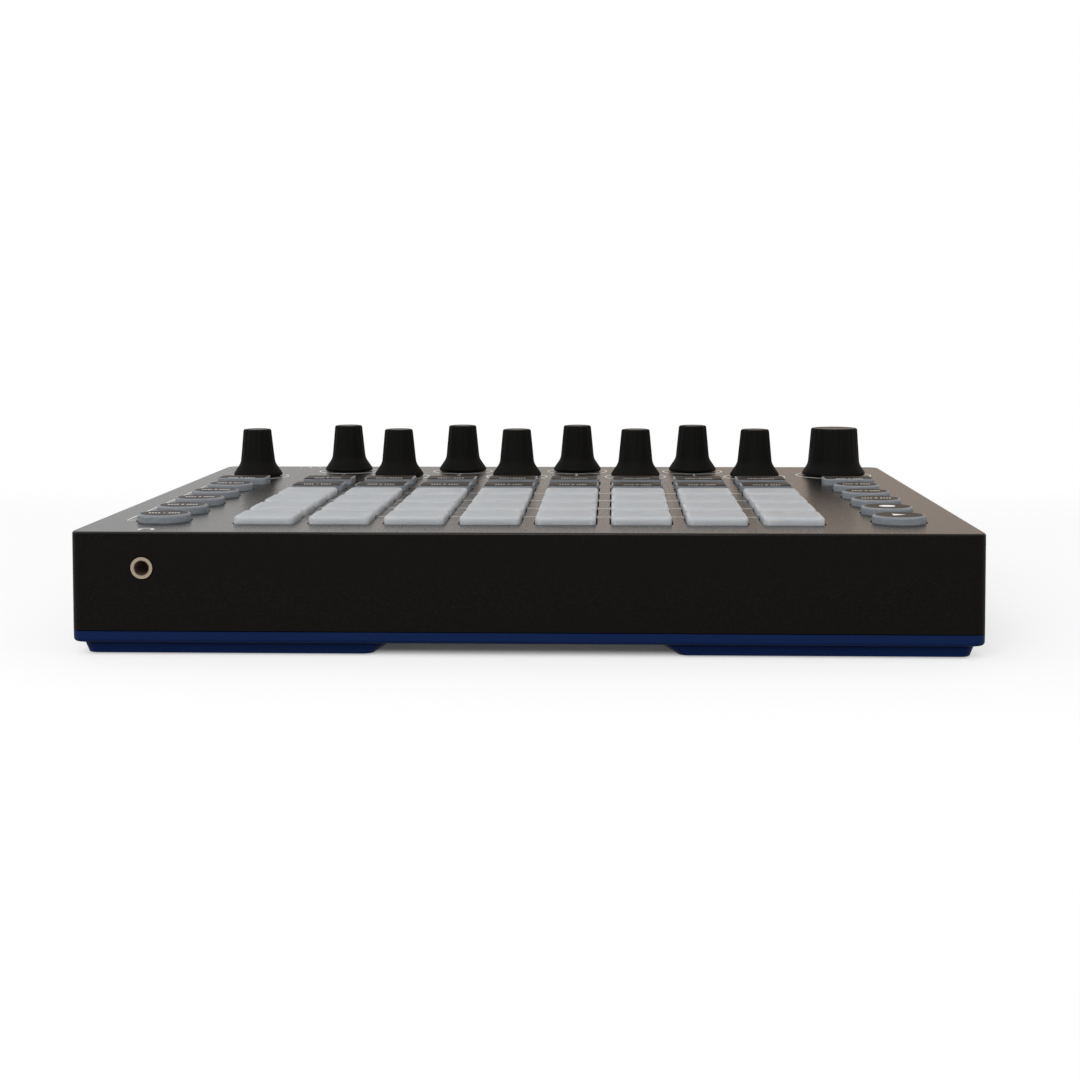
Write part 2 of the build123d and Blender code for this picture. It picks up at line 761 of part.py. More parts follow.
# Knobs on their shafts: eight small ones in two staggered rows, one for volume and a wide one for the filter
small_cap = knob_cap(knob_skirt_diameter, knob_waist_diameter, knob_top_diameter)
wide_cap = knob_cap(filter_skirt_diameter, filter_waist_diameter, filter_top_diameter)
knobs = [(f"macro_knob_{number}", small_cap, place) for number, place in enumerate(macro_places, start=1)]
knobs += [("volume_knob", small_cap, volume_place), ("filter_knob", wide_cap, filter_place)]
for name, cap, place in knobs:
    group(copies(cap, [place]) + copies(shaft.part, [place]), name)
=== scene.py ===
"""Looks of a desktop groovebox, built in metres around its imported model.

+Z is up and the player sits at -Y, so the front of the box faces -Y. Pads, keys, knobs and prints are
modelled here with soft edges; the case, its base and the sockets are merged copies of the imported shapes.
"""

import json
import math
from functools import cache

import bmesh
import bpy
from bpy.props import FloatProperty, FloatVectorProperty, IntProperty, PointerProperty
from mathutils import Matrix, Vector


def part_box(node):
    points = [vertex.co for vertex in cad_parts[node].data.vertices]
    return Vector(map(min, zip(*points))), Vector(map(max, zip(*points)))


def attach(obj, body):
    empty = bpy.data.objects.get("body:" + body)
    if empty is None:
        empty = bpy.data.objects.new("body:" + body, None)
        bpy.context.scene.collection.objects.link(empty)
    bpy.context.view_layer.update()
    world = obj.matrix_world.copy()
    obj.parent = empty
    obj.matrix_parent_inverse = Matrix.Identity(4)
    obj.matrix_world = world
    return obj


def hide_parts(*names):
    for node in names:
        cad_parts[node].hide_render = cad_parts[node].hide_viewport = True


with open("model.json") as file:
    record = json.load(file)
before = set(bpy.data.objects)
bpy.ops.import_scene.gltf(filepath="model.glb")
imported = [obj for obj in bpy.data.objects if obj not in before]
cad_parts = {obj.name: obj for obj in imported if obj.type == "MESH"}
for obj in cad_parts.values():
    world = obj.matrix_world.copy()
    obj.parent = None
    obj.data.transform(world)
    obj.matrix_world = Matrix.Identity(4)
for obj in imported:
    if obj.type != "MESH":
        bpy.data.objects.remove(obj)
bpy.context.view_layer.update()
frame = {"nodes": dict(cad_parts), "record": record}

bl_info = {
    "name": "Groovebox Looks",
    "version": (1, 0, 0),
    "blender": (4, 5, 0),
    "location": "View3D > Sidebar > Groovebox",
    "description": "Dresses a groovebox's pads, keys, knobs, prints, sockets and case",
    "category": "Object",
}

MM = 0.001
TINY = 0.001 * MM
BODY = "chassis"
FULL_TURN = 2 * math.pi

# Shading: an edge sharper than SHARP stays crisp, and a face this square to an axis is flat
SHARP = math.radians(28)
FLAT = 0.99999
FACE_WEIGHT = 100

# Sides and steps of the round shapes
KEY_SIDES_PER_STEP = 12
GROOVE_STEPS = 8
SHAFT_STEPS = 32
RING_STEPS = 96
LETTER_STEPS = 4
PLAY_SIDES = 3
DOT_SIDES = 48
FLOOR_SIDES = 96

# How far up a face looks, as its normal's Z, to take the panel's speckle or a key's print
PANEL_RISE = 0.5
PRINT_RISE = 0.1

# Noise of every grain, its levels from first fleck to peak, and its levels from shiniest to dullest
GRAIN = {"Detail": 3.0, "Roughness": 0.6}
PEAK = {"From Min": 0.5, "From Max": 0.72}
SPREAD = {"From Min": 0.3, "From Max": 0.7}
GLOSS_DRIFT = 0.1

# The shader's own specular level, and how far silicone bends light
PLAIN_SPECULAR = 0.5
SILICONE_IOR = 1.41

# The photograph's camera
SENSOR_MM = 36
CLIP_START = 10 * MM


def middle(node):
    """The centre of a node's box at rest."""
    low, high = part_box(node)
    return (low + high) / 2


def linear(code):
    """An sRGB hex colour as the linear RGBA that Blender's sockets take."""
    channels = [int(code[i:i + 2], 16) / 255 for i in (1, 3, 5)]
    return tuple(c / 12.92 if c <= 0.04045 else ((c + 0.055) / 1.055) ** 2.4 for c in channels) + (1.0,)


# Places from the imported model
CASE_LOW, CASE_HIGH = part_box("top_case")
PANEL_TOP = CASE_HIGH.z
COLUMNS = range(1, 9)
PAD_ROWS = range(1, 5)
PADS = [f"pad_row{row}_col{column}" for row in PAD_ROWS for column in COLUMNS]
COLUMN_XS = [middle(f"pad_row1_col{column}").x for column in COLUMNS]
PAD_YS = [middle(f"pad_row{row}_col1").y for row in PAD_ROWS]
KEY_ROWS = ("function_keys_front", "function_keys_rear")
KEY_YS = [middle(node).y for node in KEY_ROWS]
ROUND_YS = PAD_YS + KEY_YS[:1]
MACRO_KNOBS = [f"macro_knob_{number}" for number in COLUMNS]
SMALL_KNOBS = MACRO_KNOBS + ["volume_knob"]
WIDE_KNOB = "filter_knob"
MOUNTS = {mount["name"]: Vector(mount["pos_m"]) for mount in frame["record"]["mounts"]}
MINI_SOCKETS = ("headphone_socket", "sync_socket", "midi_in_socket", "midi_out_socket")

# Numbers printed at the rear edge, from the power button to the inlet and between the line outputs
INLET_NUMBERS = range(1, 7)
OUTLET_NUMBERS = range(7, 10)


def colour(label, code, words):
    """A colour that the user can change."""
    return FloatVectorProperty(
        name=label, description=words, subtype="COLOR", size=4, min=0, max=1, default=linear(code)
    )


def amount(label, value, words, **limits):
    """A number that the user can change, with its unit and limits."""
    return FloatProperty(name=label, description=words, default=value, **limits)


def fraction(label, value, words):
    """A share, up to a whole, that the user can change."""
    return amount(label, value, words, subtype="FACTOR", min=0, max=1)


def length(label, millimetres, words):
    """A length that the user can change."""
    return amount(label, millimetres * MM, words, subtype="DISTANCE", unit="LENGTH", precision=5)


def lengths(label, metres, words):
    """A place, or the sides of a rectangle, that the user can change."""
    return FloatVectorProperty(
        name=label, description=words, subtype="XYZ", unit="LENGTH", size=len(metres), default=metres
    )


class CaseSettings(bpy.types.PropertyGroup):
    """Colours and grain of the case and of what shows at its rear and underside."""

    shell: colour("Top case", "#0f0e0c", "Dark moulded plastic of the panel and walls")
    fleck: colour("Flecks", "#1c1917", "Lighter grains of the moulded texture")
    base: colour("Base", "#0d1e42", "Blue moulded plastic of the base tray")
    base_fleck: colour("Base flecks", "#11254f", "Lighter grains of the blue plastic")
    grit: length("Grit", 0.35, "Width of one grain of the moulded texture")
    speckle_depth: length("Speckle depth", 0.5, "How far below the panel's top its speckled face reaches")
    socket: colour("Sockets", "#141415", "Black plastic of the socket bodies")
    nickel: colour("Nickel", "#94897a", "Plated rings of the sockets")
    bore: length("Bore", 2.0, "Radius round a small socket's axis that is plated all the way in")
    ring_depth: length("Ring depth", 1.5, "How far in from the wall's face the plated ring shows")
    port_shell: length("Port shell", 12.2, "Width over the square port's steel shell")
    tongue_width: length("Tongue width", 5.8, "Width over the black tongue in that port")
    tongue_height: length("Tongue height", 3.4, "Height over that tongue")
    inlet_pin: length("Inlet pin", 2.4, "Diameter over the pin in the power inlet")
    screw_head: length("Screw head", 5.4, "Diameter of a screw's head")
    screw_slot: length("Screw slot", 3.2, "Length of the cross recess in a screw's head")
    screw_slot_width: length("Screw slot width", 0.7, "Width of that recess")


class KeySettings(bpy.types.PropertyGroup):
    """Sizes and colours of the pads and keys."""

    milk: colour("Pads", "#9b9ea2", "Milky silicone of the pads")
    smoke: colour("Keys", "#777b7f", "Grey silicone of the small and round keys")
    print_top: colour("Key print", "#2c2723", "Dark print on the keys' tops")
    legend: colour("Legends", "#efefec", "White print on the keys and the panel")
    flange: length("Flange", 1.0, "Rim of a key that stays under the panel")
    flange_depth: length("Flange depth", 0.9, "Thickness of that rim")
    flange_drop: length("Flange drop", 2.5, "From the panel's face down to the rim")
    stem: length("Stem", 7.0, "Width of the stem under a key")
    pad_corner: length("Pad corner", 1.8, "Plan radius of a pad's corners")
    pad_edge: length("Pad edge", 0.85, "Rounding round a pad's top")
    key_edge: length("Key edge", 0.7, "Rounding round a round key's top")
    small_key_edge: length("Small key edge", 0.3, "Rounding round a small key's top")
    print_margin: length("Print margin", 0.1, "Bare silicone from a side key's rounding to its print")
    print_side: length("Print side", 0.55, "Bare silicone beside the print on a key behind the pads")
    legend_height: length("Legend height", 2.0, "Height of a number printed on a key")
    legend_drop: length("Legend drop", 3.9, "How far in front of a small key's middle its number stands")
    symbol: length("Symbol", 4.6, "Width of the play and record marks")
    tick: length("Tick", 0.35, "Width of the ticks beside a number")
    tick_gap: length("Tick gap", 0.5, "Space between those ticks")
    tick_start: amount("Tick start", 0.75, "From a number's middle to its first ticks, in heights", min=0)
    tick_reach: fraction("Tick reach", 1 / 3, "Half the height of a tick, as a share of its number's")
    ticks: IntProperty(name="Ticks", description="Ticks on each side of a number", default=4, min=0)


class KnobSettings(bpy.types.PropertyGroup):
    """Sizes and colour of the knobs."""

    rubber: colour("Rubber", "#0e0e0d", "Soft black coating of the knobs")
    crown: colour("Crown", "#151514", "Smoother plastic of the knobs' tops")
    lift: length("Lift", 0.3, "Gap between the panel and a knob's skirt")
    rim: length("Rim", 0.9, "Height of the upright edge of the skirt")
    rim_round: length("Rim rounding", 0.5, "Radius of the skirt's lower edge")
    shoulder: length("Shoulder", 1.2, "Radius where the skirt's slope meets its upright edge")
    flare: amount("Flare", math.radians(34), "Lean of the skirt from upright", subtype="ANGLE")
    flare_round: length("Flare rounding", 4.5, "Radius where the skirt meets the grip")
    edge: length("Edge", 0.7, "Rounding round a knob's top")
    dish: length("Dish", 0.15, "Depth of the hollow in a knob's top")
    brim: length("Brim", 1.1, "Width of the rim round that hollow")
    small_waist: length("Small waist", 12.0, "Diameter of a small knob above its flare")
    small_top: length("Small top", 9.7, "Diameter of a small knob's top")
    wide_waist: length("Wide waist", 17.9, "Diameter of the wide knob above its flare")
    wide_top: length("Wide top", 16.0, "Diameter of the wide knob's top")
    groove: length("Groove", 0.28, "Depth of the grip's grooves")
    groove_radius: length("Groove radius", 1.1, "Radius of the grip's grooves")
    pitch: length("Groove pitch", 2.4, "Distance between grooves round the waist")
    groove_end: fraction("Groove end", 0.15, "Share of the grip's height where its grooves run out")
    groove_full: fraction("Groove full", 0.5, "Share of that height where they reach their depth")
    shaft: length("Shaft", 6.0, "Diameter of the shaft under a knob")


class PrintSettings(bpy.types.PropertyGroup):
    """Sizes of the white print on the panel."""

    small_ring: length("Small ring", 21.0, "Diameter of the ring round a small knob")
    wide_ring: length("Wide ring", 25.8, "Diameter of the ring round the wide knob")
    stroke: length("Stroke", 0.42, "Width of the printed lines")
    hairline: length("Hairline", 0.25, "Width of the lines between the columns of pads")
    hairline_reach: length("Hairline reach", 1.6, "Half the length of those lines")
    ink: length("Ink", 0.03, "Thickness of the print")
    pointer: length("Pointer", 1.3, "Length of the mark in front of a ring")
    label_gap: length("Label gap", 16.7, "From a knob's centre to the number in front of it")
    label_height: length("Label height", 2.4, "Height of the numbers on the panel")
    bracket_gap: length("Bracket gap", 10.5, "From the left keys' centres to the line beside them")
    bracket_stroke: length("Bracket stroke", 0.34, "Width of that line")
    bracket_return: length("Bracket return", 2.6, "Length of that line's turned ends")
    icon: length("Icon", 3.4, "Width of the headphone mark")
    icon_drop: length("Icon drop", 6.5, "From the panel's front edge back to the headphone mark")
    socket_label_height: length("Socket label height", 3.2, "Height of the numbers at the rear edge")
    socket_label_pitch: length("Socket label pitch", 3.4, "Distance between the numbers at the rear edge")
    socket_label_drop: length("Socket label drop", 4.5, "From the panel's rear edge to those numbers")


class StageSettings(bpy.types.PropertyGroup):
    """Floor, light and camera."""

    paper: colour("Paper", "#fafafa", "White paper that the box stands on")
    floor: length("Floor", 6000.0, "Radius of the paper")
    fibre: length("Fibre", 2.0, "Width of the paper's fibres")
    fibre_tone: fraction("Fibre tone", 0.985, "Tone of the fibres, as a share of the paper's")
    # Painted shade: the paper throws back a darker tone than it shows, darkest at the box
    bounce: colour("Bounce", "#979797", "The paper's tone for the light that it throws back on the box")
    shade: fraction("Shade", 0.25, "Share of that tone that is left at the box")
    shade_reach: length("Shade reach", 45.0, "How far from the box that tone is whole again")
    veil: fraction("Veil", 0.6, "Share of plain white in the paper")
    veil_inside: fraction("Veil inside", 0.05, "Share of plain white under the box")
    veil_depth: length("Veil depth", 14.0, "How far in from the box's sides that share is reached")
    fade_start: length("Fade start", 20.0, "How far from the box the paper starts to run out to white")
    fade_end: length("Fade end", 280.0, "How far from the box it is plain white")
    warm: colour("Warm side", "#e5d4c5", "Reflected light from the right of the room")
    warm_start: amount("Warm start", -0.25, "X of the direction where that side starts", min=-1, max=1)
    warm_full: amount("Warm full", 0.1, "X of the direction where it is full", min=-1, max=1)
    walls: amount("Walls", 1.25, "Light from the room's walls, at the horizon", min=0)
    ceiling: amount("Ceiling", 0.3, "Light from straight above", min=0)
    top_lamp: amount("Top lamp", 2.0, "Power of the soft lamp overhead", unit="POWER", min=0)
    top_lamp_place: lengths("Top lamp place", (-0.25, 0.2, 1.2), "Place of that lamp")
    top_lamp_size: lengths("Top lamp size", (1.4, 1.0), "Sides of that lamp")
    front_lamp: amount("Front lamp", 13.0, "Power of the soft lamp in front", unit="POWER", min=0)
    front_lamp_place: lengths("Front lamp place", (-0.2, -1.2, 0.8), "Place of that lamp")
    front_lamp_size: lengths("Front lamp size", (1.0, 0.8), "Sides of that lamp")
    eye: lengths("Eye", (0.023306, -0.566989, 0.091465), "Place of the camera")
    yaw: amount("Yaw", 0.0409, "Turn of the camera to the left", subtype="ANGLE")
    pitch: amount("Pitch", 0.1275, "Tilt of the camera down", subtype="ANGLE")
    roll: amount("Roll", -0.0022, "Turn of the camera about its view", subtype="ANGLE")
    lens: amount("Lens", 60.02, "Focal length on a sensor 36 mm wide", unit="CAMERA", min=1)


class GrooveboxSettings(bpy.types.PropertyGroup):
    """All settings of the groovebox."""

    case: PointerProperty(type=CaseSettings)
    keys: PointerProperty(type=KeySettings)
    knobs: PointerProperty(type=KnobSettings)
    prints: PointerProperty(type=PrintSettings)
    stage: PointerProperty(type=StageSettings)
    segments: IntProperty(name="Segments", description="Steps in a rounded edge", default=6, min=2)


def settings():
    """The settings kept on the scene."""
    return bpy.context.scene.groovebox


# Materials


def add(owner, kind, values=None, links=None):
    """Adds a shader node of a kind, such as Math.

    values fill its attributes and sockets; links join its sockets to (node, output) pairs.
    """
    node = owner.node_tree.nodes.new("ShaderNode" + kind)
    sockets = {socket.identifier: socket for socket in node.inputs}
    for name, value in (values or {}).items():
        if name in sockets:
            sockets[name].default_value = value
        else:
            setattr(node, name, value)
    for name, (source, output) in (links or {}).items():
        outputs = {socket.identifier: socket for socket in source.outputs}
        owner.node_tree.links.new(outputs[output], sockets[name])
    return node


def emptied(owner):
    """A material or world with no nodes yet."""
    owner.use_nodes = True
    owner.node_tree.nodes.clear()
    return owner


def deeper(tone, share):
    """A colour scaled towards black, or towards white by a share above 1."""
    return tuple(min(channel * share, 1.0) for channel in tone[:3]) + (1.0,)


def grained(name, base, fleck, grit, roughness, relief, specular=PLAIN_SPECULAR, finish=None):
    """A material with a fine grain of width grit.

    fleck shows on the grain's peaks, the grain lifts the surface by relief, and the gloss drifts a little
    from grain to grain. finish fills the shader's other sockets.
    """
    material = emptied(bpy.data.materials.new(name))
    place = add(material, "TexCoord")
    grain = add(material, "TexNoise", {"Scale": 1 / grit, **GRAIN}, {"Vector": (place, "Object")})
    peak = add(material, "MapRange", PEAK, {"Value": (grain, "Fac")})
    tint = add(
        material,
        "Mix",
        {"data_type": "RGBA", "A_Color": base, "B_Color": fleck},
        {"Factor_Float": (peak, "Result")},
    )
    shiniest, dullest = (1 - GLOSS_DRIFT) * roughness, (1 + GLOSS_DRIFT) * roughness
    gloss = add(
        material, "MapRange", {"To Min": shiniest, "To Max": dullest, **SPREAD}, {"Value": (grain, "Fac")}
    )
    bump = add(material, "Bump", {"Distance": relief}, {"Height": (grain, "Fac")})
    shader = add(
        material,
        "BsdfPrincipled",
        {"Specular IOR Level": specular, **(finish or {})},
        {"Base Color": (tint, "Result_Color"), "Roughness": (gloss, "Result"), "Normal": (bump, "Normal")},
    )
    add(material, "OutputMaterial", None, {"Surface": (shader, "BSDF")})
    return material


@cache
def moulded_abs():
    """Black ABS as the walls show it: an even mould with hardly any gloss."""
    case = settings().case
    return grained(
        "moulded_abs", case.shell, case.fleck,
        grit=case.grit, roughness=0.4, relief=0.004 * MM, specular=0.03,
    )


@cache
def spark_textured_abs():
    """The same ABS from a spark-eroded mould face: fine pits break its gloss into a speckled sheen."""
    case = settings().case
    return grained(
        "spark_textured_abs", case.shell, case.fleck,
        grit=case.grit, roughness=0.28, relief=0.007 * MM, specular=0.21,
    )


@cache
def blue_abs():
    """ABS coloured through, from a smoother mould: an even navy with a satin sheen."""
    case = settings().case
    return grained(
        "blue_abs", case.base, case.base_fleck,
        grit=case.grit, roughness=0.45, relief=0.004 * MM, specular=0.04,
    )


@cache
def milky_silicone():
    """Moulded silicone rubber, milky: light goes some way in, so edges glow and the face looks soft."""
    tone = settings().keys.milk
    return grained(
        "milky_silicone", tone, deeper(tone, 0.95),
        grit=0.6 * MM, roughness=0.5, relief=0.003 * MM, specular=0.1,
        finish={
            "IOR": SILICONE_IOR,
            "Subsurface Weight": 1.0,
            "Subsurface Radius": (1.0, 0.92, 0.78),
            "Subsurface Scale": 9.0 * MM,
        },
    )


@cache
def smoke_silicone():
    """The same rubber with a grey pigment, so light goes in less far."""
    tone = settings().keys.smoke
    return grained(
        "smoke_silicone", tone, deeper(tone, 0.92),
        grit=0.6 * MM, roughness=0.5, relief=0.003 * MM, specular=0.06,
        finish={
            "IOR": SILICONE_IOR,
            "Subsurface Weight": 0.9,
            "Subsurface Radius": (1.0, 1.0, 1.0),
            "Subsurface Scale": 2.5 * MM,
        },
    )


@cache
def key_ink():
    """Dark pad-printed ink on the keys' tops: matt, and slightly uneven where silicone shows through."""
    tone = settings().keys.print_top
    return grained(
        "key_ink", tone, deeper(tone, 1.35),
        grit=0.4 * MM, roughness=0.5, relief=0.004 * MM, specular=0.08,
    )


@cache
def white_ink():
    """White screen-printed ink, chalky, a little thinner on the grain's peaks."""
    tone = settings().keys.legend
    return grained(
        "white_ink", tone, deeper(tone, 0.88),
        grit=0.25 * MM, roughness=0.6, relief=0.003 * MM, specular=0.2,
    )


@cache
def soft_touch_rubber():
    """Soft-touch rubber paint over a moulded knob: deep black, and velvety where it is seen edge on."""
    tone = settings().knobs.rubber
    return grained(
        "soft_touch_rubber", tone, deeper(tone, 1.5),
        grit=0.3 * MM, roughness=0.65, relief=0.006 * MM, specular=0.04,
        finish={"Sheen Weight": 0.02, "Sheen Roughness": 0.5},
    )


@cache
def crown_plastic():
    """The knobs' bare moulded tops: the same black, smooth enough to pick up the room at low angles."""
    tone = settings().knobs.crown
    return grained(
        "crown_plastic", tone, deeper(tone, 1.4),
        grit=0.3 * MM, roughness=0.4, relief=0.003 * MM, specular=0.3,
    )


@cache
def nickel_plate():
    """Nickel over turned brass: a warm grey metal, dulled by handling."""
    tone = settings().case.nickel
    return grained(
        "nickel_plate", tone, deeper(tone, 0.8),
        grit=0.5 * MM, roughness=0.5, relief=0.004 * MM, finish={"Metallic": 1.0},
    )


@cache
def socket_plastic():
    """Glass-filled nylon of socket bodies: black, with a dull grain."""
    tone = settings().case.socket
    return grained(
        "socket_plastic", tone, deeper(tone, 1.6),
        grit=0.3 * MM, roughness=0.5, relief=0.008 * MM, specular=0.2,
    )


@cache
def tinned_steel():
    """Tin-plated sheet steel of ports and screws: pale grey, with soft blurred reflections."""
    tone = linear("#9fa2a6")
    return grained(
        "tinned_steel", tone, deeper(tone, 0.85),
        grit=0.4 * MM, roughness=0.35, relief=0.004 * MM, finish={"Metallic": 1.0},
    )


@cache
def foot_rubber():
    """Moulded black rubber of the feet: matt, a little dusty."""
    tone = linear("#161615")
    return grained(
        "foot_rubber", tone, deeper(tone, 1.8),
        grit=0.5 * MM, roughness=0.75, relief=0.015 * MM, specular=0.25,
    )


@cache
def board_mask():
    """Solder mask over a circuit board: green and glossy."""
    tone = linear("#1f4a30")
    return grained(
        "board_mask", tone, deeper(tone, 1.3),
        grit=1.2 * MM, roughness=0.3, relief=0.004 * MM,
    )


@cache
def cell_jacket():
    """Shrink film over dry cells: grey and glossy."""
    tone = linear("#77797c")
    return grained(
        "cell_jacket", tone, deeper(tone, 0.85),
        grit=1.5 * MM, roughness=0.25, relief=0.004 * MM,
    )


@cache
def cone_paper():
    """Pressed black paper of the loudspeaker behind the grille: matt and fibrous."""
    tone = linear("#1a1a1c")
    return grained(
        "cone_paper", tone, deeper(tone, 1.9),
        grit=0.6 * MM, roughness=0.8, relief=0.02 * MM, specular=0.2,
    )


# Shapes


def top_face(bm):
    """The highest face of a mesh."""
    return max(bm.faces, key=lambda face: face.calc_center_median().z)


def join(target, part):
    """Moves one bmesh into another."""
    mesh = bpy.data.meshes.new("joined")
    part.to_mesh(mesh)
    part.free()
    target.from_mesh(mesh)
    bpy.data.meshes.remove(mesh)


def block(bm, low, high):
    """A plain box between two corners."""
    low, high = Vector(low), Vector(high)
    bmesh.ops.create_cube(bm, size=1.0, matrix=Matrix.LocRotScale((low + high) / 2, None, high - low))


def piece(name, bm, materials, body, hidden=()):
    """Makes a mesh a piece that rides on a body and stands for the hidden nodes."""
    bmesh.ops.recalc_face_normals(bm, faces=bm.faces)
    mesh = bpy.data.meshes.new(name)
    bm.to_mesh(mesh)
    bm.free()
    for material in materials:
        mesh.materials.append(material)
    mesh.shade_smooth()
    mesh.set_sharp_from_angle(angle=SHARP)
    shown = bpy.data.objects.new(name, mesh)
    bpy.context.scene.collection.objects.link(shown)
    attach(shown, body)
    if hidden:
        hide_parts(*hidden)
    return shown


def smoothed(node, finishes, body=BODY, choose=None):
    """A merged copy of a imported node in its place, with flat faces flat and its roundings shaded smooth.

    choose gives the number of a face's finish from its centre and normal.
    """
    bm = bmesh.new()
    bm.from_mesh(frame["nodes"][node].data)
    bmesh.ops.remove_doubles(bm, verts=bm.verts, dist=TINY)
    for face in bm.faces:
        face.material_index = choose(face.calc_center_median(), face.normal) if choose else 0
    shown = piece(f"smooth_{node}", bm, [finish() for finish in finishes], body, [node])
    for face in shown.data.polygons:
        face.use_smooth = max(map(abs, face.normal)) < FLAT
    weighted = shown.modifiers.new("weighted_normals", "WEIGHTED_NORMAL")
    weighted.weight = FACE_WEIGHT
    weighted.keep_sharp = True


def key_cap(node, x, y, width, depth, corner, edge):
    """A key of a node: a stem, a rim under the panel and a cap with a rounded top edge.

    A corner of 0 makes the key round.
    """
    keys = settings().keys
    low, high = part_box(node)
    rim_low = PANEL_TOP - keys.flange_drop - keys.flange_depth
    size = Vector((width + 2 * keys.flange, depth + 2 * keys.flange, keys.flange_depth))
    place = Matrix.LocRotScale(Vector((x, y, rim_low + keys.flange_depth / 2)), None, size)
    steps = settings().segments
    bm = bmesh.new()
    if corner:
        bmesh.ops.create_cube(bm, size=1.0, matrix=place)
        upright = [e for e in bm.edges if (e.verts[0].co - e.verts[1].co).xy.length < TINY]
        bmesh.ops.bevel(
            bm,
            geom=upright,
            offset=corner + keys.flange,
            segments=steps,
            profile=0.5,
            affect="EDGES",
            material=-1,
        )
    else:
        bmesh.ops.create_cone(
            bm,
            cap_ends=True,
            segments=KEY_SIDES_PER_STEP * steps,
            radius1=0.5,
            radius2=0.5,
            depth=1.0,
            matrix=place,
        )
    face = top_face(bm)
    bmesh.ops.inset_region(bm, faces=[face], thickness=keys.flange, use_even_offset=True)
    face = bmesh.ops.extrude_discrete_faces(bm, faces=[face])["faces"][0]
    rise = high.z - rim_low - keys.flange_depth
    bmesh.ops.translate(bm, vec=(0, 0, rise), verts=face.verts)
    bmesh.ops.bevel(
        bm, geom=list(face.edges), offset=edge, segments=steps, profile=0.5, affect="EDGES", material=-1
    )
    half = keys.stem / 2
    block(bm, (x - half, y - half, low.z), (x + half, y + half, rim_low))
    return bm


def ink_inside(bm):
    """Prints the flat top of a key, up to a margin from its edge."""
    face = top_face(bm)
    bmesh.ops.inset_region(bm, faces=[face], thickness=settings().keys.print_margin, use_even_offset=True)
    face.material_index = 1


def ink_across(bm, x, width):
    """Prints a key's top from front to rear, over both edges, and leaves its left and right bare."""
    reach = width / 2 - settings().keys.print_side
    for side in (-1, 1):
        bmesh.ops.bisect_plane(
            bm,
            geom=bm.verts[:] + bm.edges[:] + bm.faces[:],
            plane_co=(x + side * reach, 0, 0),
            plane_no=(1, 0, 0),
        )
    bm.normal_update()
    for face in bm.faces:
        centre = face.calc_center_median()
        upper = face.normal.z > PRINT_RISE and centre.z > PANEL_TOP
        face.material_index = int(upper and abs(centre.x - x) < reach)


def lettering(bm, text, height, spot):
    """Flat raised figures centred on a spot, with their top an ink's thickness above it."""
    curve = bpy.data.curves.new("lettering", "FONT")
    curve.body = text
    curve.size = height
    curve.align_x = "CENTER"
    curve.align_y = "CENTER"
    curve.extrude = settings().prints.ink
    curve.resolution_u = LETTER_STEPS
    holder = bpy.data.objects.new("lettering", curve)
    mesh = bpy.data.meshes.new_from_object(holder)
    mesh.transform(Matrix.Translation(spot))
    bm.from_mesh(mesh)
    bpy.data.meshes.remove(mesh)
    bpy.data.objects.remove(holder)
    bpy.data.curves.remove(curve)


def stroke(bm, start, end, width, z=PANEL_TOP):
    """A printed straight line between two points of a flat face, along X or Y."""
    ink = settings().prints.ink
    half = width / 2
    low = (min(start[0], end[0]) - half, min(start[1], end[1]) - half, z - ink)
    high = (max(start[0], end[0]) + half, max(start[1], end[1]) + half, z + ink)
    block(bm, low, high)


def ring(bm, x, y, diameter, angle=FULL_TURN):
    """A printed circle on the panel, or an arc that starts at its right."""
    prints = settings().prints
    inner, outer = (diameter - prints.stroke) / 2, (diameter + prints.stroke) / 2
    low, high = PANEL_TOP - prints.ink, PANEL_TOP + prints.ink
    corners = [(inner, low), (outer, low), (outer, high), (inner, high), (inner, low)]
    turned(bm, corners, Matrix.Translation((x, y, 0)), RING_STEPS, angle)


def turned(bm, profile, place, steps, angle=FULL_TURN):
    """Spins a profile of (radius, height) points round the local Z axis of place."""
    shape = bmesh.new()
    verts = [shape.verts.new((radius, 0, height)) for radius, height in profile]
    for near, far in zip(verts, verts[1:]):
        shape.edges.new((near, far))
    bmesh.ops.spin(
        shape,
        geom=shape.verts[:] + shape.edges[:],
        cent=(0, 0, 0),
        axis=(0, 0, 1),
        dvec=(0, 0, 0),
        angle=angle,
        steps=steps,
        use_merge=angle == FULL_TURN,
    )
    bmesh.ops.remove_doubles(shape, verts=shape.verts, dist=TINY)
    bmesh.ops.holes_fill(shape, edges=[edge for edge in shape.edges if edge.is_boundary])
    bmesh.ops.transform(shape, matrix=place, verts=shape.verts)
    join(bm, shape)


def arc(start, heading, end, steps):
    """Points after start on the arc that leaves it along heading and ends at end."""
    chord = end - start
    bend = heading.angle_signed(chord)
    radius = chord.length / (2 * math.sin(bend))
    points = []
    for step in range(1, steps + 1):
        part = bend * step / steps
        along = heading.normalized()
        along.rotate(Matrix.Rotation(-part, 2))
        points.append(start + along * (2 * radius * math.sin(part)))
    return points


def rounded(corners, radii, steps):
    """A profile through corners, with each inner one rounded to its radius."""
    corners = [Vector(corner) for corner in corners]
    points = corners[:1]
    for before, corner, after, radius in zip(corners, corners[1:], corners[2:], radii):
        inward = (corner - before).normalized()
        outward = (after - corner).normalized()
        setback = radius * math.tan(inward.angle(outward) / 2)
        start = corner - inward * setback
        points += [start] + arc(start, inward, corner + outward * setback, steps)
    return points + corners[-1:]


# Operators


def dress(node, material):
    """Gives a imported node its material."""
    slots = frame["nodes"][node].data.materials
    slots.clear()
    slots.append(material)


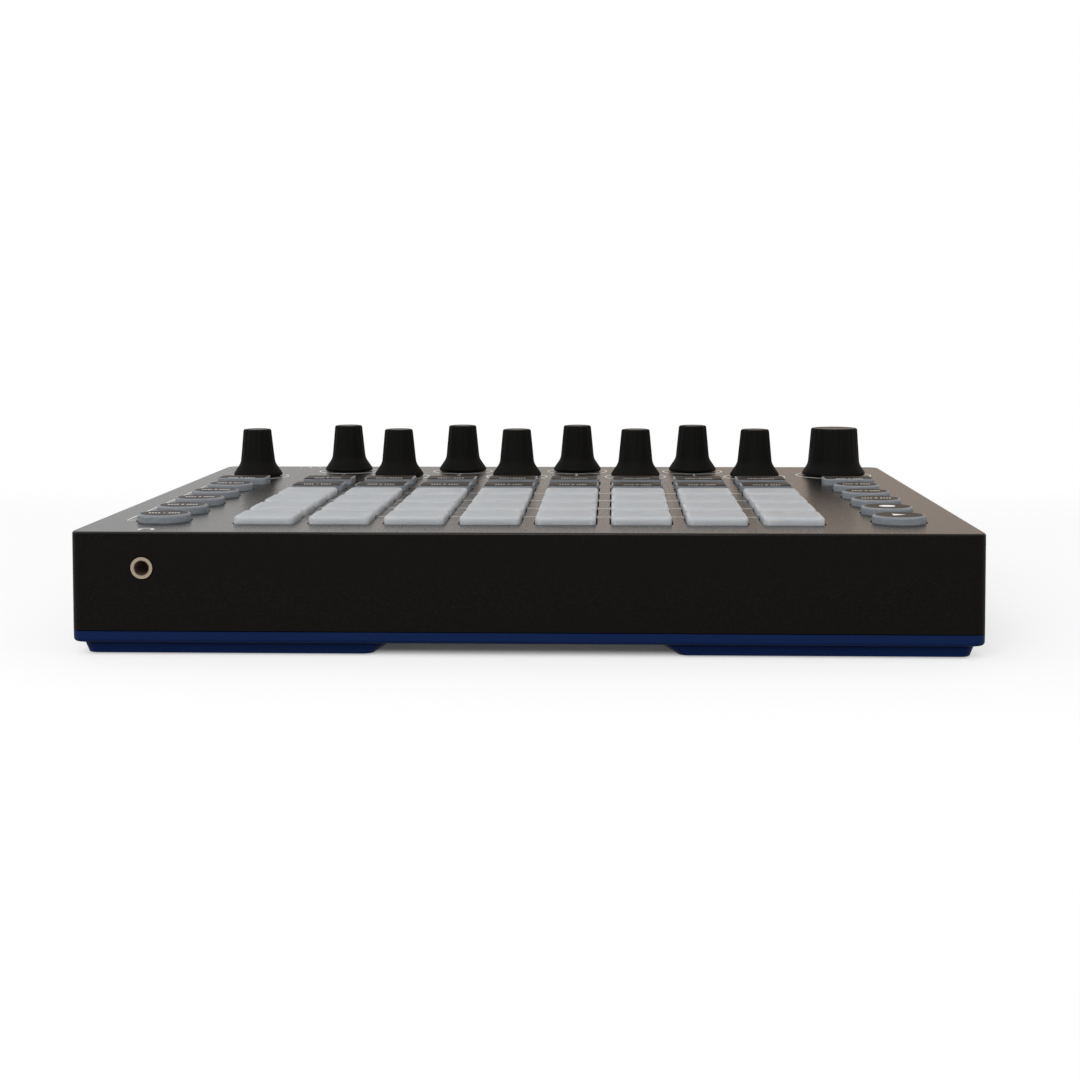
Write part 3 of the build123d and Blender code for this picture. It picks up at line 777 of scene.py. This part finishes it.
class GROOVEBOX_OT_case(bpy.types.Operator):
    """Finish the case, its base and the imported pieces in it"""

    bl_idname = "groovebox.case"
    bl_label = "Finish Case"

    def execute(self, context):
        smoothed("top_case", [moulded_abs, spark_textured_abs], choose=self.shell_finish)
        smoothed("base_tray", [blue_abs])
        smoothed("battery_door", [blue_abs], "battery_door")
        smoothed("rubber_feet", [foot_rubber])
        inside = {
            "main_board": board_mask,
            "key_mat": smoke_silicone,
            "rotary_controls": tinned_steel,
            "speaker": cone_paper,
            "battery_cells": cell_jacket,
        }
        for node, finish in inside.items():
            dress(node, finish())
        self.screws()
        return {"FINISHED"}

    def shell_finish(self, spot, normal):
        """The speckled face of the panel, and plain walls."""
        return int(normal.z > PANEL_RISE and spot.z > PANEL_TOP - settings().case.speckle_depth)

    def screws(self):
        """The screws under the case, with a flat black cross on each head as painted shade for its cross
        recess.
        """
        case = settings().case
        smoothed("case_screws", [tinned_steel])
        low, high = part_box("case_screws")
        radius = case.screw_head / 2
        between = (KEY_YS[1] + middle("volume_knob").y) / 2
        half, narrow = case.screw_slot / 2, case.screw_slot_width / 2
        bm = bmesh.new()
        for x in (low.x + radius, high.x - radius):
            for y in (low.y + radius, between, high.y - radius):
                # Painted shade: a thin black cross block on each head, where the cross recess would be
                # shaded
                for across, along in ((half, narrow), (narrow, half)):
                    reach = Vector((across, along, settings().prints.ink))
                    centre = Vector((x, y, low.z))
                    block(bm, centre - reach, centre + reach)
        piece("screw_recess_painted_shade", bm, [socket_plastic()], BODY)


class GROOVEBOX_OT_sockets(bpy.types.Operator):
    """Finish the sockets and the power button"""

    bl_idname = "groovebox.sockets"
    bl_label = "Finish Sockets"

    def execute(self, context):
        smoothed("mini_jacks", [nickel_plate, socket_plastic], choose=self.mini_finish)
        smoothed("line_jacks", [socket_plastic])
        smoothed("rear_ports", [tinned_steel, socket_plastic], choose=self.port_finish)
        smoothed("power_button", [socket_plastic], "power_button")
        return {"FINISHED"}

    def mini_finish(self, spot, normal):
        """Plating on the ring and down its bore, black on the body behind the wall."""
        off_axis = min((spot - MOUNTS[name]).xz.length for name in MINI_SOCKETS)
        behind = abs(spot.y) < CASE_HIGH.y - settings().case.ring_depth
        return int(behind and off_axis > settings().case.bore)

    def port_finish(self, spot, normal):
        """Steel on the square port's shell and the inlet's pin, black plastic on the rest."""
        case = settings().case
        from_port = spot - MOUNTS["usb_socket"]
        from_inlet = spot - MOUNTS["power_inlet"]
        port = abs(from_port.x) < case.port_shell / 2
        tongue = abs(from_port.x) < case.tongue_width / 2 and abs(from_port.z) < case.tongue_height / 2
        pin = from_inlet.xz.length < case.inlet_pin / 2
        return int(tongue or not (port or pin))


class GROOVEBOX_OT_pads(bpy.types.Operator):
    """Model the thirty-two playing pads"""

    bl_idname = "groovebox.pads"
    bl_label = "Model Pads"

    def execute(self, context):
        keys = settings().keys
        for node in PADS:
            low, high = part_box(node)
            spot = middle(node)
            size = high.x - low.x - 2 * keys.flange
            bm = key_cap(node, spot.x, spot.y, size, size, keys.pad_corner, keys.pad_edge)
            piece(f"soft_{node}", bm, [milky_silicone()], node, [node])
        return {"FINISHED"}


def symbol(bm, x, y, z, sides):
    """A solid printed mark: three sides make a play triangle, and many a record dot.

    A triangle reaches twice as far to its tip as to its base, so a quarter of its radius centres it.
    """
    ink = settings().prints.ink
    radius = settings().keys.symbol / 2
    centring = radius / 4 if sides == PLAY_SIDES else 0
    place = Matrix.Translation((x - centring, y, z)) @ Matrix.Rotation(-FULL_TURN / 4, 4, "Z")
    bmesh.ops.create_cone(
        bm, cap_ends=True, segments=sides, radius1=radius, radius2=radius, depth=2 * ink, matrix=place
    )


def legend(bm, x, y, z, text):
    """A number between two rows of ticks on a key's top."""
    keys = settings().keys
    lettering(bm, text, keys.legend_height, (x, y, z))
    first = keys.tick_start * keys.legend_height
    reach = keys.tick_reach * keys.legend_height
    for side in (-1, 1):
        for tick in range(keys.ticks):
            across = x + side * (first + tick * (keys.tick + keys.tick_gap))
            stroke(bm, (across, y - reach), (across, y + reach), keys.tick, z)


class GROOVEBOX_OT_keys(bpy.types.Operator):
    """Model the small keys behind the pads and the round keys at the sides, with their print"""

    bl_idname = "groovebox.keys"
    bl_label = "Model Keys"

    def execute(self, context):
        keys = settings().keys
        pad_low, pad_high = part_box(PADS[0])
        width = pad_high.x - pad_low.x - 2 * keys.flange
        key_low, key_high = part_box(KEY_ROWS[0])
        depth = key_high.y - key_low.y - 2 * keys.flange
        for row, node in enumerate(KEY_ROWS):
            spots = [(x, KEY_YS[row], width, depth, keys.pad_corner) for x in COLUMN_XS]
            self.model(node, spots, [str(number + row * len(COLUMN_XS)) for number in COLUMNS])
        for node, symbols in (("left_keys", []), ("right_keys", [PLAY_SIDES, DOT_SIDES])):
            side_low, side_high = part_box(node)
            x = (side_low.x + side_high.x) / 2
            bore = 2 * (ROUND_YS[0] - side_low.y - keys.flange)
            spots = [(x, y, bore, bore, 0) for y in ROUND_YS]
            spots.append((x, KEY_YS[1], width, depth, keys.pad_corner))
            numbers = [str(number) for number in range(1, len(spots) + 1)]
            self.model(node, spots, symbols + numbers[len(symbols):])
        return {"FINISHED"}

    def model(self, node, spots, marks):
        """One piece for a node's keys and one for their print.

        A mark is a number's text or the count of a symbol's sides.
        """
        keys = settings().keys
        caps, legends = bmesh.new(), bmesh.new()
        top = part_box(node)[1].z
        for (x, y, width, depth, corner), mark in zip(spots, marks):
            edge = keys.small_key_edge if corner else keys.key_edge
            cap = key_cap(node, x, y, width, depth, corner, edge)
            if node in KEY_ROWS:
                ink_across(cap, x, width)
            else:
                ink_inside(cap)
            join(caps, cap)
            if isinstance(mark, int):
                symbol(legends, x, y, top, mark)
            else:
                legend(legends, x, y - (keys.legend_drop if corner else 0), top, mark)
        piece(f"soft_{node}", caps, [smoke_silicone(), key_ink()], node, [node])
        piece(f"legends_{node}", legends, [white_ink()], node)


class GROOVEBOX_OT_knobs(bpy.types.Operator):
    """Model the knobs with their flared skirts and grooved grips"""

    bl_idname = "groovebox.knobs"
    bl_label = "Model Knobs"

    def execute(self, context):
        knobs = settings().knobs
        for node in SMALL_KNOBS:
            self.model(node, knobs.small_waist, knobs.small_top)
        self.model(WIDE_KNOB, knobs.wide_waist, knobs.wide_top)
        return {"FINISHED"}

    def model(self, node, waist, top):
        """A knob spun from its profile, with its grip drawn in along each groove and a smooth top."""
        knobs = settings().knobs
        low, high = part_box(node)
        spot = middle(node)
        base = PANEL_TOP + knobs.lift
        skirt, height = high.x - low.x, high.z - base
        flare = knobs.rim + (skirt - waist) / 2 / math.tan(knobs.flare)
        foot, crown = Vector((waist / 2, flare)), Vector((top / 2, height))
        grip_low, grip_full = foot.lerp(crown, knobs.groove_end), foot.lerp(crown, knobs.groove_full)
        hollow, sunk = top / 2 - knobs.brim, height - knobs.dish
        steps = settings().segments
        lower = rounded(
            [(0, 0), (skirt / 2, 0), (skirt / 2, knobs.rim), foot, grip_low],
            [knobs.rim_round, knobs.shoulder, knobs.flare_round],
            steps,
        )
        upper = rounded(
            [grip_full, crown, (hollow, height), (hollow - knobs.dish, sunk), (0, sunk)],
            [knobs.edge, knobs.dish, knobs.dish],
            steps,
        )
        grooves = 2 * round(math.pi * waist / knobs.pitch / 2)
        place = Matrix.Translation((spot.x, spot.y, base))
        bm = bmesh.new()
        turned(bm, lower + upper, place, GROOVE_STEPS * grooves)
        self.groove(bm, spot, waist, grooves, base + grip_low.y, hollow)
        shaft = [(0, low.z - base), (knobs.shaft / 2, low.z - base), (knobs.shaft / 2, 0), (0, 0)]
        turned(bm, shaft, place, SHAFT_STEPS)
        flat = top / 2 - knobs.edge
        for face in bm.faces:
            centre = face.calc_center_median()
            face.material_index = int((centre - spot).xy.length < flat and centre.z > spot.z)
        piece(f"grip_{node}", bm, [soft_touch_rubber(), crown_plastic()], node, [node])

    def groove(self, bm, spot, waist, grooves, floor, hollow):
        """Draws the grip above floor and outside the hollow top in along each groove.

        The grip has GROOVE_STEPS upright lines to a groove. Each is drawn in by the groove's depth there.
        """
        knobs = settings().knobs
        centre = Matrix.Translation((-spot.x, -spot.y, 0))
        lines = {step: [] for step in range(GROOVE_STEPS)}
        for vert in bm.verts:
            offset = vert.co - spot
            if vert.co.z > floor + TINY and offset.xy.length > hollow + TINY:
                turn = round(math.atan2(offset.y, offset.x) / FULL_TURN * GROOVE_STEPS * grooves)
                lines[turn % GROOVE_STEPS].append(vert)
        for step, line in lines.items():
            across = (step - GROOVE_STEPS / 2) * math.pi * waist / (GROOVE_STEPS * grooves)
            if abs(across) < knobs.groove_radius:
                rise = knobs.groove_radius - math.sqrt(knobs.groove_radius ** 2 - across ** 2)
                pull = 1 - max(knobs.groove - rise, 0) / (waist / 2)
                bmesh.ops.scale(bm, vec=(pull, pull, 1), space=centre, verts=line)


class GROOVEBOX_OT_prints(bpy.types.Operator):
    """Print the rings, numbers and lines on the panel"""

    bl_idname = "groovebox.prints"
    bl_label = "Print Panel"

    def execute(self, context):
        prints = settings().prints
        bm = bmesh.new()
        for number, node in enumerate(SMALL_KNOBS + [WIDE_KNOB], start=1):
            spot = middle(node)
            across = prints.wide_ring if node == WIDE_KNOB else prints.small_ring
            ring(bm, spot.x, spot.y, across)
            front = spot.y - across / 2 - prints.stroke
            stroke(bm, (spot.x, front - prints.pointer), (spot.x, front), prints.stroke)
            if node in MACRO_KNOBS:
                label = (spot.x, spot.y - prints.label_gap, PANEL_TOP)
                lettering(bm, str(number), prints.label_height, label)
        half = (COLUMN_XS[1] - COLUMN_XS[0]) / 2
        for row in PAD_YS:
            y = row + (PAD_YS[1] - PAD_YS[0]) / 2
            for x in COLUMN_XS[:-1]:
                near, far = x + half - prints.hairline_reach, x + half + prints.hairline_reach
                stroke(bm, (near, y), (far, y), prints.hairline)
        self.bracket(bm)
        self.headphone_mark(bm)
        inlets = (middle("power_button").x + MOUNTS["power_inlet"].x) / 2
        outlets = (MOUNTS["line_out_right"].x + MOUNTS["line_out_left"].x) / 2
        self.socket_labels(bm, inlets, INLET_NUMBERS)
        self.socket_labels(bm, outlets, OUTLET_NUMBERS)
        piece("panel_prints", bm, [white_ink()], BODY)
        return {"FINISHED"}

    def bracket(self, bm):
        """A line down the left of the round keys with its ends turned in."""
        prints = settings().prints
        x = middle("left_keys").x - prints.bracket_gap
        near, far = ROUND_YS[0], ROUND_YS[-1] + (ROUND_YS[1] - ROUND_YS[0]) / 2
        stroke(bm, (x, near), (x, far), prints.bracket_stroke)
        for y in (near, far):
            stroke(bm, (x, y), (x + prints.bracket_return, y), prints.bracket_stroke)

    def headphone_mark(self, bm):
        """A plain headphone sign behind the front socket: a band over two cups."""
        prints = settings().prints
        x, y = MOUNTS["headphone_socket"].x, CASE_LOW.y + prints.icon_drop
        ring(bm, x, y, prints.icon, FULL_TURN / 2)
        cup_drop, cup_width = prints.icon / 3, 2 * prints.stroke
        for side in (-1, 1):
            cup = x + side * prints.icon / 2
            stroke(bm, (cup, y - cup_drop), (cup, y), cup_width)

    def socket_labels(self, bm, x, numbers):
        """A row of numbers at the rear edge, centred on x."""
        prints = settings().prints
        y = CASE_HIGH.y - prints.socket_label_drop
        for place, number in enumerate(numbers):
            across = x + (place - (len(numbers) - 1) / 2) * prints.socket_label_pitch
            lettering(bm, str(number), prints.socket_label_height, (across, y, PANEL_TOP))


class GROOVEBOX_OT_stage(bpy.types.Operator):
    """Set the floor, the light and the camera"""

    bl_idname = "groovebox.stage"
    bl_label = "Set Stage"

    def execute(self, context):
        stage = settings().stage
        scene = context.scene
        scene.view_settings.view_transform = "Standard"
        bm = bmesh.new()
        bmesh.ops.create_circle(bm, cap_ends=True, segments=FLOOR_SIDES, radius=stage.floor)
        mesh = bpy.data.meshes.new("paper_floor")
        bm.to_mesh(mesh)
        bm.free()
        mesh.materials.append(self.paper(stage))
        floor = bpy.data.objects.new("paper_floor", mesh)
        scene.collection.objects.link(floor)
        scene.world = self.studio(stage)
        self.lamp("overhead_softbox", stage.top_lamp, stage.top_lamp_place, stage.top_lamp_size)
        self.lamp("front_softbox", stage.front_lamp, stage.front_lamp_place, stage.front_lamp_size)
        view = bpy.data.cameras.new("photo_view")
        view.sensor_width = SENSOR_MM
        view.lens = stage.lens
        view.clip_start = CLIP_START
        camera = bpy.data.objects.new("photo_view", view)
        camera.matrix_world = (
            Matrix.Translation(stage.eye)
            @ Matrix.Rotation(stage.yaw, 4, "Z")
            @ Matrix.Rotation(FULL_TURN / 4 - stage.pitch, 4, "X")
            @ Matrix.Rotation(stage.roll, 4, "Z")
        )
        scene.collection.objects.link(camera)
        scene.camera = camera
        return {"FINISHED"}

    def lamp(self, name, power, place, size):
        """A rectangular soft lamp aimed at the box."""
        light = bpy.data.lights.new(name, "AREA")
        light.shape = "RECTANGLE"
        light.size, light.size_y = size
        light.energy = power
        holder = bpy.data.objects.new(name, light)
        aim = (-Vector(place)).to_track_quat("-Z", "Y")
        holder.matrix_world = Matrix.LocRotScale(Vector(place), aim, None)
        bpy.context.scene.collection.objects.link(holder)

    def seen(self, owner):
        """A node that is 1 for what the camera, a reflection or glass sees, and 0 for other light."""
        path = add(owner, "LightPath")
        shiny = add(
            owner,
            "Math",
            {"operation": "MAXIMUM"},
            {"Value": (path, "Is Glossy Ray"), "Value_001": (path, "Is Transmission Ray")},
        )
        return add(
            owner,
            "Math",
            {"operation": "MAXIMUM"},
            {"Value": (path, "Is Camera Ray"), "Value_001": (shiny, "Value")},
        )

    def outside(self, material, place):
        """A node that says how far a spot of the floor lies outside the case's sides."""
        spread = add(material, "VectorMath", {"operation": "ABSOLUTE"}, {"Vector": (place, "Object")})
        past = add(
            material,
            "VectorMath",
            {"operation": "SUBTRACT", "Vector_001": CASE_HIGH},
            {"Vector": (spread, "Vector")},
        )
        sides = add(material, "SeparateXYZ", None, {"Vector": (past, "Vector")})
        return add(
            material, "Math", {"operation": "MAXIMUM"}, {"Value": (sides, "X"), "Value_001": (sides, "Y")}
        )

    def sheet(self, material, stage, place, gap, seen):
        """The paper's surface. The light that it throws back takes a darker tone than the paper shows,
        darker still close to the box: painted shade, so the plinths stay dark.
        """
        fibre = add(material, "TexNoise", {"Scale": 1 / stage.fibre}, {"Vector": (place, "Object")})
        fibre_tone = deeper(stage.paper, stage.fibre_tone)
        tint = add(
            material,
            "Mix",
            {"data_type": "RGBA", "A_Color": stage.paper, "B_Color": fibre_tone},
            {"Factor_Float": (fibre, "Fac")},
        )
        shade = add(
            material,
            "MapRange",
            {"interpolation_type": "SMOOTHSTEP", "From Min": 0.0, "From Max": stage.shade_reach},
            {"Value": (gap, "Value")},
        )
        # Painted shade: the bounce tone darkens towards the box
        painted_shade_tone = add(
            material,
            "Mix",
            {"data_type": "RGBA", "A_Color": deeper(stage.bounce, stage.shade), "B_Color": stage.bounce},
            {"Factor_Float": (shade, "Result")},
        )
        shown = add(
            material,
            "Mix",
            {"data_type": "RGBA"},
            {
                "Factor_Float": (seen, "Value"),
                "A_Color": (painted_shade_tone, "Result_Color"),
                "B_Color": (tint, "Result_Color"),
            },
        )
        return add(material, "BsdfDiffuse", None, {"Color": (shown, "Result_Color")})

    def paper(self, stage):
        """Matt white paper that runs out to plain white round the box, so the floor has no horizon.

        It is clear from beneath, so that a view from there shows the underside.
        """
        material = emptied(bpy.data.materials.new("white_paper"))
        place = add(material, "TexCoord")
        gap = self.outside(material, place)
        seen = self.seen(material)
        sheet = self.sheet(material, stage, place, gap, seen)
        white = add(material, "Emission")
        near = add(
            material,
            "MapRange",
            {
                "interpolation_type": "SMOOTHSTEP",
                "From Min": -stage.veil_depth,
                "From Max": 0.0,
                "To Min": stage.veil_inside,
                "To Max": stage.veil,
            },
            {"Value": (gap, "Value")},
        )
        fade = add(
            material,
            "MapRange",
            {"interpolation_type": "SMOOTHSTEP", "From Min": stage.fade_start, "From Max": stage.fade_end},
            {"Value": (gap, "Value"), "To Min": (near, "Result")},
        )
        share = add(
            material,
            "Math",
            {"operation": "MULTIPLY"},
            {"Value": (fade, "Result"), "Value_001": (seen, "Value")},
        )
        veiled = add(
            material,
            "MixShader",
            None,
            {"Fac": (share, "Value"), "Shader": (sheet, "BSDF"), "Shader_001": (white, "Emission")},
        )
        beneath = add(
            material,
            "Math",
            {"operation": "MAXIMUM"},
            {
                "Value": (add(material, "NewGeometry"), "Backfacing"),
                "Value_001": (add(material, "LightPath"), "Transparent Depth"),
            },
        )
        clear = add(material, "BsdfTransparent")
        surface = add(
            material,
            "MixShader",
            None,
            {"Fac": (beneath, "Value"), "Shader": (veiled, "Shader"), "Shader_001": (clear, "BSDF")},
        )
        add(material, "OutputMaterial", None, {"Surface": (surface, "Shader")})
        return material

    def studio(self, stage):
        """White all round to the camera and to reflections, which have a warm right side.

        The rest of the light comes from pale walls under a dimmer ceiling.
        """
        world = emptied(bpy.data.worlds.new("studio"))
        path = add(world, "LightPath")
        place = add(world, "TexCoord")
        parts = add(world, "SeparateXYZ", None, {"Vector": (place, "Generated")})
        side = add(
            world,
            "MapRange",
            {"From Min": stage.warm_start, "From Max": stage.warm_full},
            {"Value": (parts, "X")},
        )
        tinted = add(
            world,
            "Math",
            {"operation": "MULTIPLY"},
            {"Value": (side, "Result"), "Value_001": (path, "Is Glossy Ray")},
        )
        tone = add(
            world,
            "Mix",
            {"data_type": "RGBA", "A_Color": (1, 1, 1, 1), "B_Color": stage.warm},
            {"Factor_Float": (tinted, "Value")},
        )
        light = add(
            world, "MapRange", {"To Min": stage.walls, "To Max": stage.ceiling}, {"Value": (parts, "Z")}
        )
        level = add(
            world, "MapRange", None, {"Value": (self.seen(world), "Value"), "To Min": (light, "Result")}
        )
        sky = add(
            world, "Background", None, {"Color": (tone, "Result_Color"), "Strength": (level, "Result")}
        )
        add(world, "OutputWorld", None, {"Surface": (sky, "Background")})
        return world


class GROOVEBOX_PT_looks(bpy.types.Panel):
    """Steps that dress the groovebox"""

    bl_label = "Groovebox"
    bl_space_type = "VIEW_3D"
    bl_region_type = "UI"
    bl_category = "Groovebox"

    def draw(self, context):
        for operator in OPERATORS:
            self.layout.operator(operator.bl_idname)


OPERATORS = (
    GROOVEBOX_OT_case,
    GROOVEBOX_OT_sockets,
    GROOVEBOX_OT_pads,
    GROOVEBOX_OT_keys,
    GROOVEBOX_OT_knobs,
    GROOVEBOX_OT_prints,
    GROOVEBOX_OT_stage,
)
GROUPS = (CaseSettings, KeySettings, KnobSettings, PrintSettings, StageSettings, GrooveboxSettings)


def register():
    for part in GROUPS + OPERATORS + (GROOVEBOX_PT_looks,):
        bpy.utils.register_class(part)
    bpy.types.Scene.groovebox = PointerProperty(type=GrooveboxSettings)


def unregister():
    del bpy.types.Scene.groovebox
    for part in reversed(GROUPS + OPERATORS + (GROOVEBOX_PT_looks,)):
        bpy.utils.unregister_class(part)


def main():
    register()
    bpy.ops.groovebox.case()
    bpy.ops.groovebox.sockets()
    bpy.ops.groovebox.pads()
    bpy.ops.groovebox.keys()
    bpy.ops.groovebox.knobs()
    bpy.ops.groovebox.prints()
    bpy.ops.groovebox.stage()


if __name__ == "__main__":
    main()
